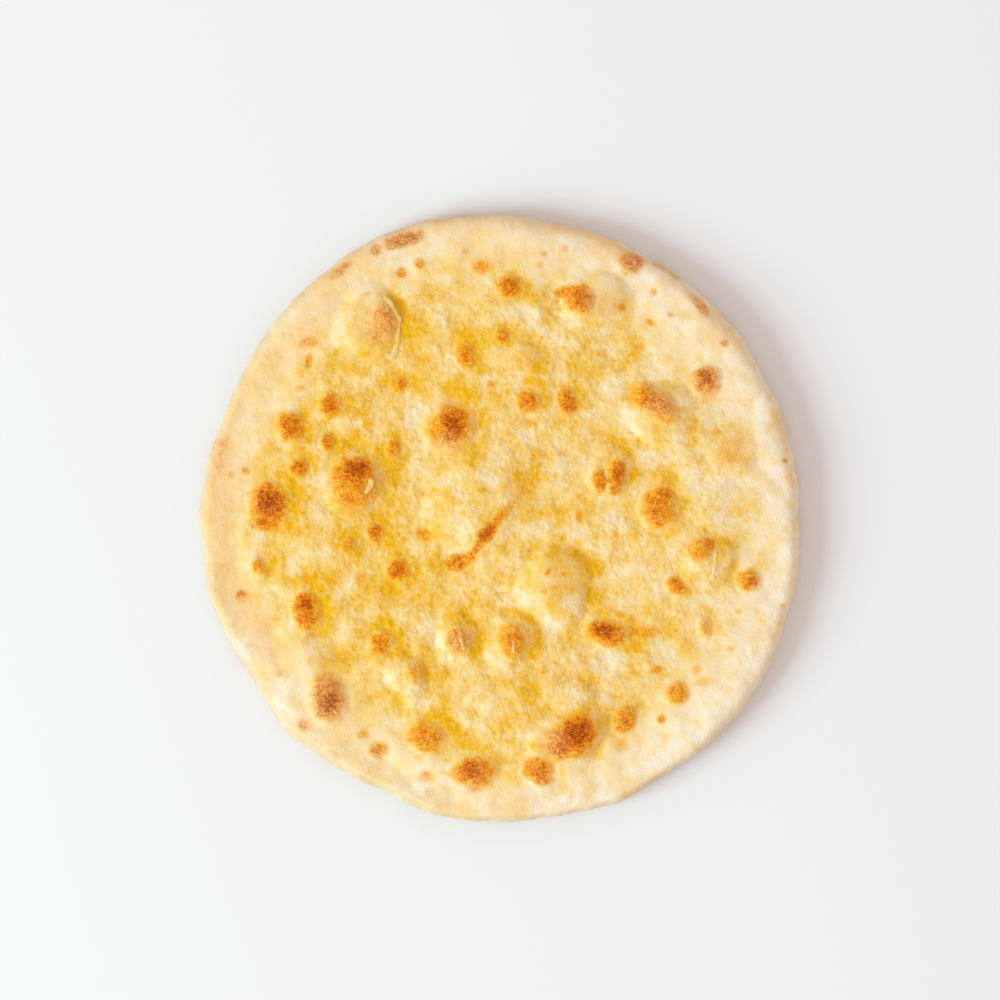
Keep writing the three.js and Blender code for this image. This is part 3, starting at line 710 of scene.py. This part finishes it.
# Curds: their size and height, how far each reaches from its middle, in sizes, the level on them that
# is even with the sheet, and how far they stray from their pattern
CURD_SIZE = 2.6
CURD_HEIGHT = 0.38
CURD_REACH = 0.62
CURD_LEVEL = 0.4
CURD_STRAY_X, CURD_STRAY_Y = [(0.9, 4, 71)], [(0.9, 4, 73)]
CURD_SEED = 3

# Bubbles at least this high have lost this share of their curds
BARE_RISE, BARE_SHARE = 2.4, 0.6


def curds(points):
    """Rounded curds packed side by side, 0 between them and 1 on top."""
    nearest = [noise.voronoi(spot)[0][0] for spot in (points / CURD_SIZE + CURD_SEED).tolist()]
    return np.clip(1 - np.array(nearest) / CURD_REACH, 0, 1)


def curds_left(points):
    """Share of the curds that stayed: all of them, but fewer on the tops of the highest bubbles."""
    strayed_x, strayed_y = wander(points[:, 0], points[:, 1])
    bare = np.zeros(len(points))
    for *oval, rise in BUBBLES:
        if rise >= BARE_RISE:
            bare = np.maximum(bare, 1 - smooth(oval_distance(strayed_x, strayed_y, *oval), 0.5, 1))
    return 1 - BARE_SHARE * bare


def cheese_layer(x, y):
    """Height of the cheese above the dough: its edge is just sunk in, so that no step shows."""
    flat = np.stack([x, y, 0 * x], 1)
    strayed = flat + np.stack([uneven(flat, CURD_STRAY_X), uneven(flat, CURD_STRAY_Y), 0 * x], 1)
    cover = smooth(cheese_inset(x, y) + uneven(flat, CHEESE_RAGGED), 0, CHEESE_FADE)
    grain = CURD_HEIGHT * (curds(strayed) - CURD_LEVEL)
    relief = (uneven(flat, CHEESE_LUMPS) + grain) * smooth(cover, 0, 0.9) * curds_left(flat)
    return (EDGE_SUNK + CHEESE_THICKNESS) * cover - EDGE_SUNK + relief


def cheese_height(x, y):
    dough_top = np.stack([x, y, dough_height(x, y)], 1)
    return dough_top[:, 2] + wrinkles(dough_top) + cheese_layer(x, y)


# Spacing of the sheet's mesh, how far its last ring is tucked into the dough, and its hidden back
CHEESE_SPACING = 0.79
CHEESE_TUCK = 0.25
CHEESE_BACK_DEPTH, CHEESE_BACK_INSET = 1.2, 2

cheese_radius = CHEESE_RADII.mean()
cheese_rings = []
for radius in [0, *np.arange(CHEESE_SPACING, cheese_radius, CHEESE_SPACING), cheese_radius]:
    angle = ring_of(radius, CHEESE_SPACING)
    reach = curve_through(CHEESE_RADII, angle) * radius / cheese_radius
    x, y = reach * np.cos(angle), reach * np.sin(angle)
    tucked = CHEESE_TUCK if radius == cheese_radius else 0
    cheese_rings.append(np.stack([x, y, cheese_height(x, y) - tucked], 1))
for radius in [*np.arange(cheese_radius - CHEESE_BACK_INSET, SMALLEST_RING, -HIDDEN_SPACING), 0]:
    angle = ring_of(radius, HIDDEN_SPACING)
    reach = curve_through(CHEESE_RADII, angle) * radius / cheese_radius
    x, y = reach * np.cos(angle), reach * np.sin(angle)
    cheese_rings.append(np.stack([x, y, dough_height(x, y) - CHEESE_BACK_DEPTH], 1))
cheese = rings_mesh("cheese_sheet", cheese_rings)

points = vertex_values(cheese.data, "co")
cheese.data.vertices.foreach_set("co", (points * MM).ravel())
flat = points * (1, 1, 0)
give_values(
    cheese,
    toast=toast_at(flat),
    golden=golden_at(flat),
    cover=cheese_cover(flat) * curds_left(flat),
    oil=oil_at(flat),
    soaked=soaked_at(flat),
)

# Baked cheese: the same gilding and toast over fat-soaked dough, glossy but for the gold and the toast
baked_cheese, shader, add, to_shader = new_finish("baked_cheese")
colour, golden, toast = baked_top(add, SOAKED_CREAM)
dulled = add("ShaderNodeMath", settings={"operation": "MAXIMUM"}, _0=toast, _1=golden)
bump = add("ShaderNodeBump", Height=speckle(add, 1.1, 3), Strength=0.7, Distance=BUMP_DEPTH)
to_shader("Base Color", colour)
to_shader("Roughness", between(add, golden, 0, 1, 0.5, 0.32))
to_shader("Specular IOR Level", between(add, dulled, 0.1, 0.8, 0.3, 0.04))
to_shader("Normal", bump)
shader.inputs["Subsurface Weight"].default_value = 0.25
shader.inputs["Subsurface Radius"].default_value = (1.0, 0.55, 0.2)
shader.inputs["Subsurface Scale"].default_value = 2 * MM
cheese.data.materials.append(baked_cheese)
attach(cheese, "root")
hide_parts("melted_cheese")

# The shreds are coarser strands from the same cheese that lay on top and kept their form.
# They have gone pale and soft, and are stuck to the sheet where they sank into it.

# Each shred: its width, and the points that it runs through
SHREDS = [
    (3.4, [(-58, 110.5), (-54, 106), (-50, 99), (-51, 88), (-54, 79)]),
    (2.8, [(52.9, 25), (53.6, 20), (55, 13)]),
    (3.4, [(106.6, -15), (106.4, -23), (105, -31)]),
    (4.2, [(-63.4, 21), (-64.6, 17), (-67.2, 12.8)]),
    (2, [(-19.3, -58.5), (-18.6, -62), (-17.4, -65.5)]),
    (2, [(6.2, -59.5), (6.9, -63), (6.6, -66.5)]),
    (2.4, [(-82.6, -94.6), (-80.6, -97.2)]),
    (2, [(-22.8, -53.6), (-21.2, -54.2)]),
]
SHRED_HEIGHT = 0.8
SHRED_LIFT = -0.22
SHRED_STEP = 0.6
SHRED_SIDES = 14
FEWEST_STEPS = 6
ROUTE_SMOOTHING, LIE_SMOOTHING = 3, 3
NARROWEST_END = 0.04
SHRED_LUMPS = [(0.3, 4, 107)]
SHRED_SWAY = [(0.15, 3, 131)]


def smoothed(values, rounds):
    """A row of values with its kinks rounded off and its two ends kept."""
    values = values.copy()
    for _ in range(rounds):
        values[1:-1] = (values[:-2] + 2 * values[1:-1] + values[2:]) / 4
    return values


strand_points, strand_faces = [], []
around = np.arange(SHRED_SIDES) * 2 * np.pi / SHRED_SIDES
for width, route in SHREDS:
    route = np.array(route, float)
    marks = np.concatenate([[0], np.cumsum(np.hypot(*np.diff(route, axis=0).T))])
    length = marks[-1]
    steps = np.linspace(0, length, max(FEWEST_STEPS, int(length / SHRED_STEP)))
    x = smoothed(np.interp(steps, marks, route[:, 0]), ROUTE_SMOOTHING)
    y = smoothed(np.interp(steps, marks, route[:, 1]), ROUTE_SMOOTHING)
    middle = smoothed(cheese_height(x, y), LIE_SMOOTHING) + SHRED_LIFT
    heading = np.arctan2(np.gradient(y), np.gradient(x))
    to_end = np.minimum(steps, length - steps) / (0.5 * width)
    size = np.sqrt(np.clip(1 - (1 - np.clip(to_end, 0, 1)) ** 2, NARROWEST_END, 1))
    along = np.stack([x, y, 0 * x], 1)
    size *= 1 + uneven(along, SHRED_LUMPS)
    sway = width * uneven(along, SHRED_SWAY)
    first = len(strand_points)
    for step in range(len(steps)):
        out = sway[step] + 0.5 * width * size[step] * np.cos(around)
        ring_x = x[step] - np.sin(heading[step]) * out
        ring_y = y[step] + np.cos(heading[step]) * out
        ring_z = middle[step] + 0.5 * SHRED_HEIGHT * size[step] * np.sin(around)
        strand_points.extend(np.stack([ring_x, ring_y, ring_z], 1).tolist())
    for back in range(first, len(strand_points) - SHRED_SIDES, SHRED_SIDES):
        here = back + SHRED_SIDES
        for side in range(SHRED_SIDES):
            after = (side + 1) % SHRED_SIDES
            strand_faces.append((back + side, back + after, here + after, here + side))
    strand_faces.append(tuple(reversed(range(first, first + SHRED_SIDES))))
    strand_faces.append(tuple(range(len(strand_points) - SHRED_SIDES, len(strand_points))))

strands = bpy.data.meshes.new("cheese_shreds")
strands.from_pydata((np.array(strand_points) * MM).tolist(), [], strand_faces)
strands.shade_smooth()
shreds = bpy.data.objects.new("cheese_shreds", strands)
bpy.context.scene.collection.objects.link(shreds)

# Paler and less toasted than the sheet, and free of oil
SHRED_TOAST = 0.35
SHRED_GOLD, SHRED_GOLD_SHARE = 0.26, 0.3
SHRED_COVER = 0.7

flat = np.array(strand_points) * (1, 1, 0)
everywhere = np.ones(len(flat))
give_values(
    shreds,
    toast=SHRED_TOAST * toast_at(flat),
    golden=SHRED_GOLD + SHRED_GOLD_SHARE * golden_at(flat),
    cover=SHRED_COVER * everywhere,
    oil=0 * everywhere,
    soaked=everywhere,
)
shreds.data.materials.append(baked_cheese)
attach(shreds, "root")
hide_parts("melted_cheese")

# The table is a plain pale surface, lit by one large soft lamp low on the near left side.
# White walls all round fill the shadows, and the camera hangs straight above the bread.

FLOOR_SIZE = 12
FLOOR_GAP = 0.2 * MM
FLOOR_WHITE = (0.8, 0.8, 0.8)
FLOOR_GREY = tuple(0.985 * part for part in FLOOR_WHITE)
FLOOR_MOTTLING = 400

floor_place = (0, 0, cad_box[0][2] - FLOOR_GAP)
bpy.ops.mesh.primitive_grid_add(x_subdivisions=2, y_subdivisions=2, size=FLOOR_SIZE, location=floor_place)
floor = bpy.context.object
floor.name = "table"
table_top, shader, add, to_shader = new_finish("table_top")
to_shader("Base Color", blend_colours(add, speckle(add, FLOOR_MOTTLING), FLOOR_WHITE, FLOOR_GREY))
shader.inputs["Roughness"].default_value = 0.6
shader.inputs["Specular IOR Level"].default_value = 0.1
floor.data.materials.append(table_top)

# The lamp, by its compass direction and its angle above the table, and the light of the walls
LAMP_DIRECTION = math.radians(201)
LAMP_RISE = math.radians(23.5)
LAMP_DISTANCE = 4.5
LAMP_SIZE = 2.4
LAMP_POWER = 247
LAMP_COLOUR = (0.66, 0.91, 1.0)
WALL_LIGHT = (1.0, 0.87, 0.82)
WALL_STRENGTH = 0.8

lamp_data = bpy.data.lights.new("soft_lamp", "AREA")
lamp_data.shape = "DISK"
lamp_data.size = LAMP_SIZE
lamp_data.energy = LAMP_POWER
lamp_data.color = LAMP_COLOUR
lamp = bpy.data.objects.new("soft_lamp", lamp_data)
bpy.context.scene.collection.objects.link(lamp)
lamp.location = [
    LAMP_DISTANCE * math.cos(LAMP_RISE) * math.cos(LAMP_DIRECTION),
    LAMP_DISTANCE * math.cos(LAMP_RISE) * math.sin(LAMP_DIRECTION),
    LAMP_DISTANCE * math.sin(LAMP_RISE),
]
lamp.rotation_euler = (-lamp.location).to_track_quat("-Z", "Y").to_euler()

walls = bpy.data.worlds.new("white_walls")
walls.use_nodes = True
walls.node_tree.nodes["Background"].inputs["Color"].default_value = (*WALL_LIGHT, 1)
walls.node_tree.nodes["Background"].inputs["Strength"].default_value = WALL_STRENGTH
bpy.context.scene.world = walls
bpy.context.scene.view_settings.view_transform = "Standard"

# The camera looks down from where the frame takes in half a millimetre a pixel at the bread's edge
PIXEL = 0.5 * MM
FRAME_PIXELS = 1000
BREAD_MIDDLE_PIXEL = (499.5, 519)
LENS = 85
SENSOR = 36

camera_data = bpy.data.cameras.new("camera")
camera_data.lens = LENS
camera_data.sensor_width = SENSOR
camera = bpy.data.objects.new("camera", camera_data)
bpy.context.scene.collection.objects.link(camera)
camera.location = (
    (FRAME_PIXELS / 2 - BREAD_MIDDLE_PIXEL[0]) * PIXEL,
    (BREAD_MIDDLE_PIXEL[1] - FRAME_PIXELS / 2) * PIXEL,
    EDGE_HEIGHT * MM + FRAME_PIXELS * PIXEL * LENS / SENSOR,
)
bpy.context.scene.camera = camera
